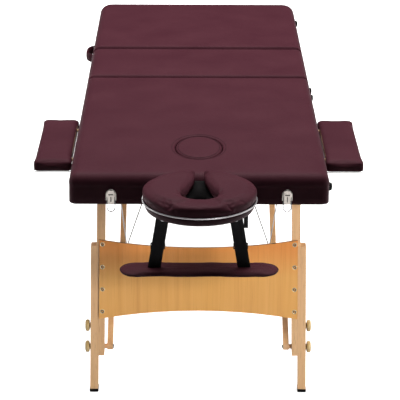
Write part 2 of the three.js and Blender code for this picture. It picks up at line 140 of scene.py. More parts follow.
class Shader:
    """A principled material with a few helpers to wire its nodes."""

    def __init__(self, name, roughness, metallic=0.0):
        self.material = bpy.data.materials.new(name)
        self.material.use_nodes = True
        self.tree = self.material.node_tree
        self.bsdf = self.tree.nodes["Principled BSDF"]
        self.bsdf.inputs["Roughness"].default_value = roughness
        self.bsdf.inputs["Metallic"].default_value = metallic
        self.place = self.node("TexCoord").outputs["Object"]

    def feed(self, socket, value):
        """Link a node's output to the socket, or set the socket to a plain value."""
        if isinstance(value, bpy.types.NodeSocket):
            self.tree.links.new(value, socket)
        else:
            socket.default_value = value

    def node(self, kind, **inputs):
        made = self.tree.nodes.new("ShaderNode" + kind)
        for name, value in inputs.items():
            self.feed(made.inputs[name.replace("_", " ")], value)
        return made

    def mapped(self, scale, turn=(0, 0, 0)):
        return self.node("Mapping", Vector=self.place, Scale=scale, Rotation=turn).outputs["Vector"]

    def noise(self, scale, detail=3.0, place=None, rough=0.5):
        made = self.node("TexNoise", Vector=place or self.place, Scale=scale, Detail=detail,
                         Roughness=rough)
        return made.outputs["Fac"]

    def ramp(self, value, *stops):
        made = self.node("ValToRGB", Fac=value)
        ramp = made.color_ramp
        while len(ramp.elements) < len(stops):
            ramp.elements.new(0.5)
        for element, (place, colour) in zip(ramp.elements, stops):
            element.position = place
            element.color = (*colour, 1)
        return made.outputs["Color"]

    def mix(self, amount, a, b, blend="MIX"):
        made = self.tree.nodes.new("ShaderNodeMix")
        made.data_type = "RGBA"
        made.blend_type = blend
        for socket, value in zip((made.inputs[0], made.inputs[6], made.inputs[7]), (amount, a, b)):
            self.feed(socket, (*value, 1) if isinstance(value, tuple) else value)
        return made.outputs[2]

    def math(self, operation, a, b=0.0, c=0.0):
        made = self.tree.nodes.new("ShaderNodeMath")
        made.operation = operation
        for socket, value in zip(made.inputs, (a, b, c)):
            self.feed(socket, value)
        return made.outputs[0]

    def spread(self, value, low, high):
        return self.node("MapRange", Value=value, To_Min=low, To_Max=high).outputs["Result"]

    def finish(self, colour=None, roughness=None, height=None, depth=0.0002):
        if colour is not None:
            self.tree.links.new(colour, self.bsdf.inputs["Base Color"])
        if roughness is not None:
            self.tree.links.new(roughness, self.bsdf.inputs["Roughness"])
        if height is not None:
            bump = self.node("Bump", Height=height, Distance=depth)
            self.tree.links.new(bump.outputs["Normal"], self.bsdf.inputs["Normal"])
        return self.material


def vinyl(name, low, high, depth=0.00018):
    """Embossed leatherette: fine pebble grain over soft creases, with painted shade darkening the valleys
    between the pebbles.
    """
    m = Shader(name, 0.4)
    cells = m.node("TexVoronoi", Vector=m.place, Scale=620.0)
    cells.feature = "DISTANCE_TO_EDGE"
    pebble = m.math("MINIMUM", cells.outputs["Distance"], 0.22)
    fine = m.noise(1400, 2)
    soft = m.noise(46, 4)
    height = m.math("ADD", m.math("MULTIPLY", pebble, 3.0), m.math("MULTIPLY", fine, 0.35))
    height = m.math("ADD", height, m.math("MULTIPLY", soft, 0.8))
    shade = m.ramp(m.noise(7, 3), (0.3, low), (0.72, high))
    # painted shade: the colour is darkened in the valleys between the pebbles, where shade falls
    grain_with_painted_valley_shade = m.mix(m.spread(pebble, 0.25, 0.0), shade, tuple(c * 0.55 for c in low))
    m.bsdf.inputs["Specular IOR Level"].default_value = 0.04
    return m.finish(grain_with_painted_valley_shade, m.spread(m.noise(90, 3), 0.44, 0.58), height, depth)


def wood(name, turn, pale, mid, dark, gloss=0.42):
    """Lacquered beech: long streaks, growth bands and short dark flecks along the grain.

    turn carries the piece's own long axis onto Z.
    """
    m = Shader(name, gloss)
    streak = m.noise(1.0, 5, m.mapped((46, 46, 1.7), turn), 0.6)
    band = m.noise(1.0, 2, m.mapped((14, 11, 0.8), turn))
    fleck = m.noise(1.0, 3, m.mapped((850, 850, 34), turn))
    pore = m.noise(1.0, 2, m.mapped((2300, 2300, 46), turn))
    colour = m.ramp(streak, (0.28, dark), (0.5, mid), (0.74, pale))
    colour = m.mix(m.spread(band, 0.0, 0.5), colour, mid)
    colour = m.mix(m.ramp(fleck, (0.6, (0, 0, 0)), (0.72, (0.55, 0.55, 0.55))), colour,
                   tuple(c * 0.55 for c in dark))
    height = m.math("ADD", m.math("MULTIPLY", pore, 0.6), m.math("MULTIPLY", streak, 0.5))
    m.bsdf.inputs["Coat Weight"].default_value = 0.25
    m.bsdf.inputs["Coat Roughness"].default_value = 0.22
    return m.finish(colour, m.spread(streak, gloss - 0.06, gloss + 0.12), height, 0.00012)


def plywood(name):
    """Glossy veneer with upright grain, with a painted shadow darkening and reddening its top; the thin edge
    shows the plies.
    """
    m = Shader(name, 0.38)
    wave = m.noise(1.0, 3, m.mapped((5, 5, 1.2)))
    streak = m.noise(1.0, 6, m.mapped((62, 62, 1.1)), 0.62)
    hair = m.noise(1.0, 2, m.mapped((520, 520, 9)))
    face = m.ramp(streak, (0.25, (0.66, 0.31, 0.088)), (0.5, (0.76, 0.385, 0.115)),
                  (0.78, (0.82, 0.44, 0.15)))
    face = m.mix(m.ramp(wave, (0.4, (0, 0, 0)), (0.75, (0.6, 0.6, 0.6))), face, (0.8, 0.405, 0.105))
    face = m.mix(m.ramp(hair, (0.6, (0, 0, 0)), (0.74, (0.35, 0.35, 0.35))), face, (0.52, 0.225, 0.06))
    place = m.node("SeparateXYZ", Vector=m.place)
    # painted shadow: the face is multiplied darker and redder towards its top, as the shade under the table
    # tinted by red bounce from the vinyl
    top = m.ramp(place.outputs["Z"], (0.36, (1, 1, 1)), (0.45, (0.95, 0.7, 0.58)))
    face = m.mix(1.0, face, top, "MULTIPLY")
    ply = m.math("SINE", m.math("MULTIPLY", place.outputs["Y"], 2 * math.pi / 0.0024))
    layers = m.ramp(m.math("MULTIPLY_ADD", ply, 0.5, 0.5), (0.42, (0.2, 0.1, 0.04)),
                    (0.58, (0.6, 0.36, 0.17)))
    normal = m.node("SeparateXYZ", Vector=m.node("NewGeometry").outputs["True Normal"])
    facing = m.math("GREATER_THAN", m.math("ABSOLUTE", normal.outputs["Y"]), 0.7)
    m.bsdf.inputs["Coat Weight"].default_value = 0.06
    m.bsdf.inputs["Coat Roughness"].default_value = 0.2
    m.bsdf.inputs["Specular IOR Level"].default_value = 0.2
    return m.finish(m.mix(facing, layers, face), m.spread(hair, 0.34, 0.48), streak, 0.00008)


def metal(name, colour, roughness):
    m = Shader(name, roughness, 1.0)
    scratch = m.noise(1.0, 4, m.mapped((300, 300, 2200)))
    tint = m.mix(m.spread(m.noise(60, 2), 0.0, 0.4), colour, tuple(c * 0.8 for c in colour))
    return m.finish(tint, m.spread(scratch, roughness - 0.07, roughness + 0.12), scratch, 0.00003)


def moulded(name, colour, roughness):
    m = Shader(name, roughness)
    grain = m.noise(900, 4)
    shade = m.ramp(m.noise(35, 3), (0.3, tuple(c * 0.7 for c in colour)), (0.75, colour))
    return m.finish(shade, m.spread(grain, roughness - 0.08, roughness + 0.12), grain, 0.00012)


def webbing(name):
    """Black polyester webbing: slanted ribs crossed by the weft."""
    m = Shader(name, 0.8)
    place = m.node("SeparateXYZ", Vector=m.place)
    rib = m.math("SINE", m.math("MULTIPLY", place.outputs["X"], 2 * math.pi / 0.0016))
    rise = m.math("ADD", place.outputs["Z"], place.outputs["Y"])
    weft = m.math("SINE", m.math("MULTIPLY", rise, 2 * math.pi / 0.0021))
    weave = m.math("MULTIPLY", rib, weft)
    shade = m.ramp(m.math("MULTIPLY_ADD", weave, 0.5, 0.5), (0.2, (0.0012, 0.0011, 0.0013)),
                   (0.9, (0.0045, 0.004, 0.0048)))
    m.bsdf.inputs["Specular IOR Level"].default_value = 0.15
    return m.finish(shade, None, weave, 0.0003)


BURGUNDY = ((0.0575, 0.0147, 0.0225), (0.071, 0.0205, 0.029))
BEECH = ((0.74, 0.47, 0.245), (0.66, 0.385, 0.18), (0.52, 0.275, 0.115))
BRACE_TURN = math.atan2(ANCHOR_S - PIN_S, ANCHOR_Z - PIN_Z)
LOOKS = {
    "vinyl": vinyl("burgundy_vinyl", *BURGUNDY),
    # a darker copy of the burgundy vinyl: painted shade for the seam welts, the sheets in the gaps and the
    # ring under the face cushion
    "vinyl_dark": vinyl("burgundy_vinyl_underside", (0.03, 0.009, 0.013), (0.04, 0.013, 0.018)),
    "beech_upright": wood("beech_upright", (0, 0, 0), *BEECH),
    "beech_head_brace": wood("beech_head_brace", (BRACE_TURN, 0, 0), *BEECH),
    "beech_foot_brace": wood("beech_foot_brace", (-BRACE_TURN, 0, 0), *BEECH),
    "beech_along": wood("beech_along", (math.pi / 2, 0, 0), *BEECH),
    "plywood": plywood("veneered_plywood"),
    "knob": wood("turned_knob", (0, math.pi / 2, 0), (0.6, 0.42, 0.18), (0.5, 0.335, 0.125),
                 (0.36, 0.225, 0.075), 0.34),
    "nickel": metal("nickel_plate", (0.36, 0.33, 0.3), 0.38),
    "wire": metal("steel_wire", (0.075, 0.075, 0.078), 0.35),
    "steel": metal("zinc_steel", (0.17, 0.17, 0.175), 0.32),
    "brass": metal("brass_washer", (0.42, 0.33, 0.2), 0.4),
    "bronze": metal("dark_screw", (0.075, 0.055, 0.04), 0.45),
    "black": moulded("black_plastic", (0.004, 0.004, 0.0045), 0.5),
    "rubber": moulded("black_rubber", (0.006, 0.006, 0.006), 0.8),
    "webbing": webbing("black_webbing"),
    "piping": moulded("silver_piping", (0.34, 0.32, 0.33), 0.3),
    "fleece": moulded("black_fleece", (0.0016, 0.0008, 0.001), 0.95),
}
for dull in ("fleece", "black", "rubber"):
    LOOKS[dull].node_tree.nodes["Principled BSDF"].inputs["Specular IOR Level"].default_value = 0.15
LOOKS["piping"].node_tree.nodes["Principled BSDF"].inputs["Metallic"].default_value = 0.55


# ---- shapes ----

def mesh_object(name, verts, faces, look):
    mesh = bpy.data.meshes.new(name)
    mesh.from_pydata([tuple(v) for v in verts], [], faces)
    bm = bmesh.new()
    bm.from_mesh(mesh)
    bmesh.ops.remove_doubles(bm, verts=bm.verts, dist=1e-6)
    bmesh.ops.recalc_face_normals(bm, faces=bm.faces)
    for face in bm.faces:
        face.smooth = True
    bm.to_mesh(mesh)
    bm.free()
    mesh.materials.append(LOOKS[look])
    obj = bpy.data.objects.new(name, mesh)
    bpy.context.scene.collection.objects.link(obj)
    return obj


def skin(rings, caps=(True, True)):
    """Quads between rings of equal count, with fans over the two ends."""
    n = len(rings[0])
    verts = [p for ring in rings for p in ring]
    faces = []
    for k in range(len(rings) - 1):
        for i in range(n):
            a, b = k * n + i, k * n + (i + 1) % n
            faces.append((a, b, b + n, a + n))
    for cap, k in zip(caps, (0, len(rings) - 1)):
        if cap:
            middle = sum(rings[k], Vector()) / n
            verts.append(middle)
            faces += [(k * n + i, k * n + (i + 1) % n, len(verts) - 1) for i in range(n)]
    return verts, faces


def lofted(name, rings, look, caps=(True, True)):
    return mesh_object(name, *skin(rings, caps), look)


def frames_along(path, closed=False):
    """Tangent and two side vectors at each point, carried along without twist."""
    n = len(path)
    result, side = [], None
    for i, p in enumerate(path):
        before = path[i - 1] if closed or i else p
        after = path[(i + 1) % n] if closed or i + 1 < n else p
        tangent = (after - before).normalized()
        if side is None:
            side = tangent.orthogonal().normalized()
        side = (side - tangent * side.dot(tangent)).normalized()
        result.append((tangent, side, tangent.cross(side)))
    return result


def tube_rings(path, radius, sides=10, closed=False):
    return [[p + (u * math.cos(a) + v * math.sin(a)) * radius for a in angles(sides)]
            for p, (_, u, v) in zip(path, frames_along(path, closed))]


def tube(name, path, radius, look, sides=10, closed=False):
    rings = tube_rings(path, radius, sides, closed)
    if closed:
        rings.append(rings[0])
    return lofted(name, rings, look, caps=(not closed, not closed))


def lathe_rings(profile, origin, axis, turns=40):
    """Rings of a turned piece: profile holds (distance along the axis, radius) in millimetres."""
    axis = Vector(axis).normalized()
    u = axis.orthogonal().normalized()
    v = axis.cross(u)
    return [[origin + axis * d * MM + (u * math.cos(a) + v * math.sin(a)) * r * MM
             for a in angles(turns)] for d, r in profile]


def turned(name, profile, origin, axis, look, turns=40):
    return lofted(name, lathe_rings(profile, origin, axis, turns), look)


def joined(name, look, *shapes):
    """One object out of several (verts, faces) shapes."""
    verts, faces = [], []
    for shape_verts, shape_faces in shapes:
        faces += [tuple(len(verts) + i for i in face) for face in shape_faces]
        verts += shape_verts
    return mesh_object(name, verts, faces, look)


def soften(obj, width):
    """Small rounded edges on a crisp piece."""
    bevel = obj.modifiers.new("edges", "BEVEL")
    bevel.width = width * MM
    bevel.segments = 2
    bevel.limit_method = "ANGLE"
    bevel.angle_limit = math.radians(35)
    bevel.harden_normals = True
    obj.data.shade_smooth()
    return obj


def block(x, s, z):
    """(verts, faces) of a box between two x, two s and two z."""
    verts = [point(a, b, c) for c in z for b in s for a in x]
    return verts, [(0, 2, 3, 1), (4, 5, 7, 6), (0, 1, 5, 4), (2, 6, 7, 3), (0, 4, 6, 2), (1, 3, 7, 5)]


def arc(cx, cy, r, start, end, n):
    return [(cx + r * math.cos(start + (end - start) * i / n),
             cy + r * math.sin(start + (end - start) * i / n)) for i in range(n + 1)]


def plan(size, x, s, near, far):
    """Rounded rectangle in plan as (x, s) points; near and far are its corner radii.

    size is the piece's own (width, length): it alone sets the counts, so inset rings match.
    """
    quarter, step, corner = math.pi / 2, 14, 7
    (x0, x1), (s0, s1) = x, s
    corners = [arc(x1 - far, s1 - far, far, 0, quarter, corner),
               arc(x0 + far, s1 - far, far, quarter, 2 * quarter, corner),
               arc(x0 + near, s0 + near, near, 2 * quarter, 3 * quarter, corner),
               arc(x1 - near, s0 + near, near, 3 * quarter, 4 * quarter, corner)]
    points = []
    for k, here in enumerate(corners):
        points += here
        (ax, ay), (bx, by) = here[-1], corners[(k + 1) % 4][0]
        count = max(2, round(size[k % 2] / step))
        points += [(ax + (bx - ax) * i / count, ay + (by - ay) * i / count) for i in range(1, count)]
    return points


def oval(rx, rs, mid, z, count):
    return [point(math.cos(a) * rx, mid + math.sin(a) * rs, z) for a in angles(count)]


def ripple(x, s, size, seed, depth):
    """Smooth unevenness of a padded top, in millimetres."""
    return depth * noise.noise(Vector((x / size, s / size, seed)))


def quarter_round(radius, n=7):
    """(inset, drop) pairs from the side face up to the top."""
    turns = (math.pi / 2 * i / n for i in range(n + 1))
    return [(radius * (1 - math.cos(a)), radius * (1 - math.sin(a))) for a in turns]


def pad(name, x, s, z, corners, edges, hole=None, crown=1.5, seed=0.0, below=(),
        spread=16, uneven=1.1, lean=(0, 0, 0)):
    """Upholstered slab. edges are the rounding radii of the sides, near end and far end.

    below holds extra rings under it, as (side inset, near inset, far inset, z). hole is
    (centre s, half width, half length) of an oval opening in the top. lean slopes the near and
    the far end back by so much per millimetre above its third value.
    """
    size = (x[1] - x[0], s[1] - s[0])
    levels = [*below, (0.8, 0.8, 0.8, z[0]), (0, 0, 0, z[0] + 2)]
    for inset, drop in quarter_round(1):
        levels.append((*(e * inset for e in edges), z[1] - edges[0] * drop))
    levels = [(a, b + lean[0] * max(0, h - lean[2]), c + lean[1] * max(0, h - lean[2]), h)
              for a, b, c, h in levels]

    def ring_at(inset_side, inset_near, inset_far):
        radii = [max(2.0, r - inset_side) for r in corners]
        return plan(size, (x[0] + inset_side, x[1] - inset_side),
                    (s[0] + inset_near, s[1] - inset_far), *radii)

    rings = [[(px, ps, h) for px, ps in ring_at(*insets)] for *insets, h in levels]
    rim = rings[-1]
    if hole:
        centre, rx, rs = hole
        lip = 7.0
        turns = [math.atan2((ps - centre) / rs, px / rx) for px, ps, _ in rim]

        def opening(out):
            return [((rx + out) * math.cos(a), centre + (rs + out) * math.sin(a)) for a in turns]
        target = opening(lip)
    else:
        mid_x, mid_s = sum(x) / 2, sum(s) / 2
        target = [(mid_x + (px - mid_x) * 0.04, mid_s + (ps - mid_s) * 0.04) for px, ps, _ in rim]
    for k in range(1, spread + 1):
        t = k / spread
        fade = math.sin(math.pi * t) ** 0.6 if hole else math.sin(math.pi / 2 * min(1.0, 1.6 * t))
        ring = []
        for (px, ps, _), (tx, ts) in zip(rim, target):
            qx, qs = px + (tx - px) * t, ps + (ts - ps) * t
            ring.append((qx, qs, z[1] + crown * fade + ripple(qx, qs, 130, seed, uneven) * fade))
        rings.append(ring)
    if hole:
        for drop, out in quarter_round(lip, 5)[1:]:
            rings.append([(*q, z[1] - drop) for q in opening(out)])
        rings.append([(*q, z[0]) for q in opening(0)])
    rings = [[point(*p) for p in ring] for ring in rings]
    return lofted(name, rings, "vinyl", caps=(not hole, not hole))


def voxelled(obj, size):
    remesh = obj.modifiers.new("voxels", "REMESH")
    remesh.mode = "VOXEL"
    remesh.voxel_size = size * MM
    remesh.use_smooth_shade = True
    apply_modifiers(obj)


def apply_modifiers(obj):
    graph = bpy.context.evaluated_depsgraph_get()
    made = bpy.data.meshes.new_from_object(obj.evaluated_get(graph))
    obj.modifiers.clear()
    obj.data = made


def puffed(obj, voxel, cap, bed):
    """Cloth simulation under pressure, so that the cover swells between its edges.

    No point moves further than cap, what lies on the bed height stays flat, and the cover
    comes back to its outer size, because it is sewn to fit its foam.
    """
    size = [(min(v.co[i] for v in obj.data.vertices), max(v.co[i] for v in obj.data.vertices))
            for i in range(3)]
    voxelled(obj, voxel)
    start = [v.co.copy() for v in obj.data.vertices]
    cloth = obj.modifiers.new("puff", "CLOTH")
    cloth.settings.quality = 4
    cloth.settings.use_pressure = True
    cloth.settings.uniform_pressure_force = 4
    cloth.settings.effector_weights.gravity = 0
    cloth.point_cache.frame_start = 1
    cloth.point_cache.frame_end = 20
    scene = bpy.context.scene
    for number in range(1, 21):
        scene.frame_set(number)
    graph = bpy.context.evaluated_depsgraph_get()
    moved = [v.co.copy() for v in obj.evaluated_get(graph).data.vertices]
    obj.modifiers.remove(cloth)
    scene.frame_set(1)
    for vertex, old, new in zip(obj.data.vertices, start, moved):
        shift = new - old
        if shift.length > cap * MM:
            shift *= cap * MM / shift.length
        if old.z < (bed + 2) * MM:
            shift.z = 0
        vertex.co = old + shift
    for i, (low, high) in enumerate(size):
        a = min(v.co[i] for v in obj.data.vertices)
        b = max(v.co[i] for v in obj.data.vertices)
        for vertex in obj.data.vertices:
            vertex.co[i] = low + (vertex.co[i] - a) * (high - low) / (b - a)
    fine = obj.modifiers.new("fine", "SUBSURF")
    fine.levels = fine.render_levels = 1
    apply_modifiers(obj)
    obj.data.shade_smooth()
    return obj


# ---- upholstery ----

def seam(name, path, radius, body):
    """A stitched seam's raised welt, in the darker vinyl that paints the shade along the seam."""
    placed(tube(name, path, radius * MM, "vinyl_dark", sides=6, closed=True), body, "vinyl")


def head_cushion():
    _, x1, s0, s1, z0, _ = millimetres("head_pad")
    hole_box = millimetres("face_plug")
    hole = ((hole_box[2] + hole_box[3]) / 2, (hole_box[1] - hole_box[0]) / 2 + 1.2,
            (hole_box[3] - hole_box[2]) / 2 + 1.2)
    wrap = [(17, 17, 6, RAIL_BOTTOM - 0.2), (1.4, 1.4, 4.5, RAIL_BOTTOM - 0.3),
            (0, 0, 3.5, RAIL_BOTTOM + 1.6), (0.2, 0.2, 2.8, RAIL_BOTTOM + 22), (0.5, 0.6, 2.5, RAIL_TOP)]
    cover = pad("head_cover", (-x1, x1), (s0, s1), (z0, TOP), (NEAR_CORNER, 8), (EDGE, EDGE, 22),
                hole=hole, seed=1.7, below=wrap, spread=26)
    placed(cover, "head_half", "vinyl", "head_pad", "head_skirt")
    ring = oval(hole[1] + 9.5, hole[2] + 9.5, hole[0], TOP + 0.1, 96)
    seam("head_hole_stitching", ring, radius=0.7, body="head_half")


def plug():
    x0, x1, s0, s1, z0, z1 = millimetres("face_plug")
    rx, rs, mid = (x1 - x0) / 2, (s1 - s0) / 2, (s0 + s1) / 2
    levels = [(0, z0), (0, z0 + 4)] + [(d, z1 - 1.5 - drop) for d, drop in quarter_round(7)]
    levels += [(7 + 6 * k, z1 - 1.5 + 1.5 * math.sin(math.pi / 2 * k / 8)) for k in range(1, 9)]
    rings = [oval(rx - d, rs - d, mid, z, 80) for d, z in levels]
    made = lofted("face_plug_pad", rings, "vinyl")
    placed(made, "face_plug", "vinyl", "face_plug")
    seam("face_plug_welt", oval(rx - 7, rs - 7, mid, z1 - 1.3, 80), radius=0.8, body="face_plug")


def foot_cushions():
    hinge_z = joint_place("back_lift")[1]
    seat_lean, back_lean = (0, GROOVE, hinge_z), (GROOVE, 0, hinge_z)
    for name, node, body, corners, edges, lean, seed in (
            ("seat_cover", "seat_pad", "foot_half", (8, 8), (EDGE, 14, 5), seat_lean, 4.1),
            ("back_cover", "back_pad", "back_section", (8, CORNER), (EDGE, 4, 18), back_lean, 7.1)):
        s0, s1, z0 = millimetres(node)[2:5]
        below = [(26, 26, 26, z0), (1.5, 1.5, 1.5, z0)] if body == "back_section" else []
        cover = pad(name, (-HALF_WIDTH, HALF_WIDTH), (s0, s1), (z0, TOP), corners, edges, seed=seed,
                    below=below, lean=lean)
        placed(cover, body, "vinyl", node)
    x0, x1, s0, s1, z0 = millimetres("back_pad")[:5]
    board = block((x0 + 9, x1 - 9), (s0 + 9, s1 - 9), (z0 + 0.25, z0 + 5.5))
    under = joined("back_board", "beech_along", board)
    soften(under, 1.5)
    placed(under, "back_section", "wood")


def foot_band():
    """Vinyl round the foot half's rails, open at the fold, and dark vinyl sheets of painted shade under the
    two grooves.

    Each level is (inset, z, whether it is raised to the seat cushion in front of the back section).
    """
    x = HALF_WIDTH
    s0, s1 = millimetres("foot_skirt")[2:4]
    back_s = millimetres("seat_pad")[3]
    seat_rise = PAD_BOTTOM - 0.1 - RAIL_TOP
    levels = [(17, RAIL_BOTTOM - 0.2, False), (1.4, RAIL_BOTTOM - 0.3, False),
              (0, RAIL_BOTTOM + 1.6, False), (0.1, RAIL_BOTTOM + 22, False),
              (0, RAIL_TOP - 1.2, True), (1.0, RAIL_TOP - 0.1, True), (2.6, RAIL_TOP, True)]
    rings = []
    for inset, z, raised in levels:
        outline = plan((2 * x, s1 - s0), (-x + inset, x - inset), (s0 + 3 + inset * 0.1, s1 - inset),
                       3, max(2.0, CORNER - inset))
        rings.append([point(px, ps, z + (seat_rise if raised and ps < back_s else 0))
                      for px, ps in outline])
    band = lofted("foot_band", rings, "vinyl", caps=(False, False))
    placed(band, "foot_half", "vinyl", "foot_skirt")
    # painted shade: sheets of the darker vinyl fill the fold and the back groove, where only shade would show
    fold_z = (PAD_BOTTOM - 0.2, PAD_BOTTOM + 0.9)
    for name, body, s, z in (
            ("fold_flap_head", "head_half", (FOLD_S - 1.6, FOLD_S - 0.1), fold_z),
            ("fold_flap_foot", "foot_half", (FOLD_S + 0.1, FOLD_S + 1.6), fold_z),
            ("back_flap", "foot_half", (back_s - 0.7, back_s + 2.2), (RAIL_TOP + 0.2, PAD_BOTTOM + 0.4))):
        painted_shade_sheet = joined(name, "vinyl_dark", block((-x + 3.5, x - 3.5), s, z))
        placed(painted_shade_sheet, body, "vinyl")


def handle(name, half, s, reach, rise, thick):
    """Padded vinyl carry strap, riveted to the left side at both ends."""
    x = -HALF_WIDTH
    outline = [(d * reach / 108, r) for d, r in (
        (-108, 0), (-98, 0.3), (-84, 1.2), (-66, rise * 0.62), (-38, rise), (0, rise * 1.05),
        (38, rise), (66, rise * 0.62), (84, 1.2), (98, 0.3), (108, 0))]
    rings = []
    for k in range(len(outline) * 3 - 2):
        i, f = divmod(k, 3)
        (d0, r0), (d1, r1) = outline[i], outline[min(i + 1, len(outline) - 1)]
        d, r = d0 + (d1 - d0) * f / 3, r0 + (r1 - r0) * f / 3
        fat = thick * (0.3 + 0.7 * max(0.0, math.cos(d / reach * math.pi / 2)) ** 0.7)
        tall = 15 - 1.5 * math.cos(d / reach * math.pi) ** 2
        middle = x - r - fat / 2 - 0.4
        rings.append([point(middle + math.cos(a) * fat / 2, s + d, RAIL_MIDDLE + math.sin(a) * tall)
                      for a in angles(16)])
    strap = lofted(name, rings, "vinyl")
    placed(strap, half, "vinyl")
    for end, place in (("near", s - reach + 9), ("far", s + reach - 9)):
        rivet = turned(f"{name}_rivet_{end}", [(0, 6.5), (1.2, 6.5), (2.6, 4.6), (3.2, 0.4)],
                       point(x - 1.2, place, RAIL_MIDDLE), (-1, 0, 0), "nickel", 24)
        placed(rivet, half, "steel")


# ---- face cradle ----

def horseshoe(inset):
    """Outline of the face cushion in plan, open towards the table, shrunk by an inset."""
    x0, x1, s0, s1 = millimetres("cradle_cushion")[:4]
    mid, rx, rs = (s0 + s1) / 2, (x1 - x0) / 2 - inset, (s1 - s0) / 2 - inset
    mouth = 17 + inset * 0.8
    start = math.asin(min(0.9, mouth / rx))
    outer = []
    for i in range(RIM_POINTS):
        t = math.pi / 2 + start + (2 * math.pi - 2 * start) * i / (RIM_POINTS - 1)
        outer.append(Vector((rx * math.cos(t), mid + rs * math.sin(t))))
    wide = 41 + inset * 0.55
    near = -268 - inset * 0.6
    knots = [(mouth, s1 - inset - 20), (mouth, -112), (30 + inset * 0.6, -180), (wide, -228),
             (wide - 2, -250), (wide - 16, near + 5), (14, near), (0, near - 0.5)]
    right = smooth_line([Vector(k) for k in knots], 12)
    left = [Vector((-p.x, p.y)) for p in reversed(right[:-1])]
    return outer + right + left


def smooth_line(knots, steps):
    """Catmull-Rom curve through the knots."""
    result = []
    for i in range(len(knots) - 1):
        a, b = knots[max(0, i - 1)], knots[i]
        c, d = knots[i + 1], knots[min(len(knots) - 1, i + 2)]
        for k in range(steps):
            t = k / steps
            result.append(0.5 * (2 * b + (c - a) * t + (2 * a - 5 * b + 4 * c - d) * t ** 2
                                 + (3 * b - a - 3 * c + d) * t ** 3))
    return result + [knots[-1]]


def horseshoe_solid(name, levels, look):
    """Solid through horseshoe outlines at (inset, z), with triangulated top and bottom."""
    rings = [[point(p.x, p.y, z) for p in horseshoe(inset)] for inset, z in levels]
    verts, faces = skin(rings, caps=(False, False))
    n = len(rings[0])
    ends = [tuple(range(n)), tuple(range(len(verts) - n, len(verts)))]
    return mesh_object(name, verts, faces + ends, look)


def cradle_base(z0, z1):
    """Ring under the face cushion: vinyl darkened as painted shade outside, black fleece round its opening.
    """
    x0, x1, s0, s1 = millimetres("cradle_cushion")[:4]
    mid, rx, rs = (s0 + s1) / 2, (x1 - x0) / 2, (s1 - s0) / 2
    outer = [(22, z0), (15, z0 + 0.8), (9, z0 + 4), (5.5, z0 + 10), (4, z0 + 17), (3.4, z1)]
    inner = [(0, z1), (0.8, z0 + 8), (-2, z0 + 2), (-6, z0)]
    knots = [(0, -158), (19, -165), (36, -190), (44, -228), (42, -252), (27, -267), (12, -271), (0, -271.5)]
    right = smooth_line([Vector(k) for k in knots], 8)
    opening = right + [Vector((-p.x, p.y)) for p in reversed(right[1:-1])]
    n = len(opening)
    middle = Vector((0, -215))
    rings = []
    for inset, z in outer:
        rings.append([point((rx - inset) * math.cos(a), mid + (rs - inset) * math.sin(a), z)
                      for a in (math.pi / 2 - 2 * math.pi * k / n for k in range(n))])
    for grow, z in inner:
        moved = [p - grow * (p - middle).normalized() for p in opening]
        rings.append([point(p.x, p.y, z) for p in moved])
    rings.append(rings[0])
    base = lofted("cradle_base", rings, "vinyl_dark", caps=(False, False))
    base.data.materials.append(LOOKS["fleece"])
    for face in base.data.polygons:
        x, s = face.center.x / MM / rx, ((face.center.y - HEAD_END) / MM - mid) / rs
        face.material_index = int(math.hypot(x, s) < 0.76)
    return base


def cradle():
    z0, z1 = millimetres("cradle_cushion")[4:]
    crown = z1 - 1.5
    levels = [(1.5, z0), (0, z0 + 4)] + [(d, crown - drop) for d, drop in quarter_round(11)]
    cushion = puffed(horseshoe_solid("face_cushion", levels, "vinyl"), 4.0, 7.0, z0)
    placed(cushion, "cradle_head", "vinyl", "cradle_cushion")

    band = [point(p.x, p.y, z0 + 1.5) for p in horseshoe(0.2)[2:RIM_POINTS - 2]]
    piping = tube("face_cushion_piping", band, 2.2 * MM, "piping", 10)
    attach(piping, "cradle_head")

    top = millimetres("cradle_platform")[5] + 0.2
    b0 = top - 24.2
    base = cradle_base(b0, top)
    lugs = []
    for side in SIDES.values():
        a, b = sorted((side * 50, side * 61.5))
        face = [(TILT_S - 8, b0 + 2), (TILT_S - 8, TILT_Z)]
        face += arc(TILT_S, TILT_Z, 8, math.pi, 2 * math.pi, 10)[1:] + [(TILT_S + 8, b0 + 2)]
        lugs.append(skin([[point(x, s, z) for s, z in face] for x in (a, b)]))
    brackets = joined("cradle_lugs", "black", *lugs)
    soften(brackets, 0.8)
    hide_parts("cradle_platform")
    for made in (base, brackets):
        placed(made, "cradle_head", "black_plastic")
    pin = turned("cradle_tilt_pin", [(0, 5), (1.5, 6), (3, 6), (3, 4), (146, 4), (146, 6), (148, 5)],
                 point(-74, TILT_S, TILT_Z), (1, 0, 0), "steel", 20)
    placed(pin, "cradle_frame", "steel")
    for name, side in SIDES.items():
        flange = turned(f"cradle_socket_{name}",
                        [(0, 13.5), (2.2, 13.5), (3.4, 12), (5.5, 8.4), (5.5, 6.6), (0, 6.6)],
                        point(side * 95, -0.6, LEG_Z), (0, -1, 0), "black", 32)
        placed(flange, "head_half", "black_plastic")
    x0, x1, *_, lever_z, _ = millimetres("cradle_lever")
    profile = arc(TILT_S, LEG_Z, 8, 0, math.pi, 12)
    profile += [(TILT_S - 7.4, LEG_Z - 14), (TILT_S - 6.2, LEG_Z - 40), (TILT_S - 4.8, lever_z + 6),
                (TILT_S - 2.5, lever_z), (TILT_S + 1, lever_z), (TILT_S + 2.6, lever_z + 5),
                (TILT_S + 5, LEG_Z - 30)]
    rings = []
    for x, shrink in ((x0, 0.82), (x0 + 1.5, 1), (x1 - 1.5, 1), (x1, 0.82)):
        rings.append([point(x, TILT_S + (s - TILT_S) * shrink, z) for s, z in profile])
    lever = lofted("clamp_lever", rings, "black")
    placed(lever, "cradle_lever", "black_plastic", "cradle_lever")


# ---- arm shelf ----

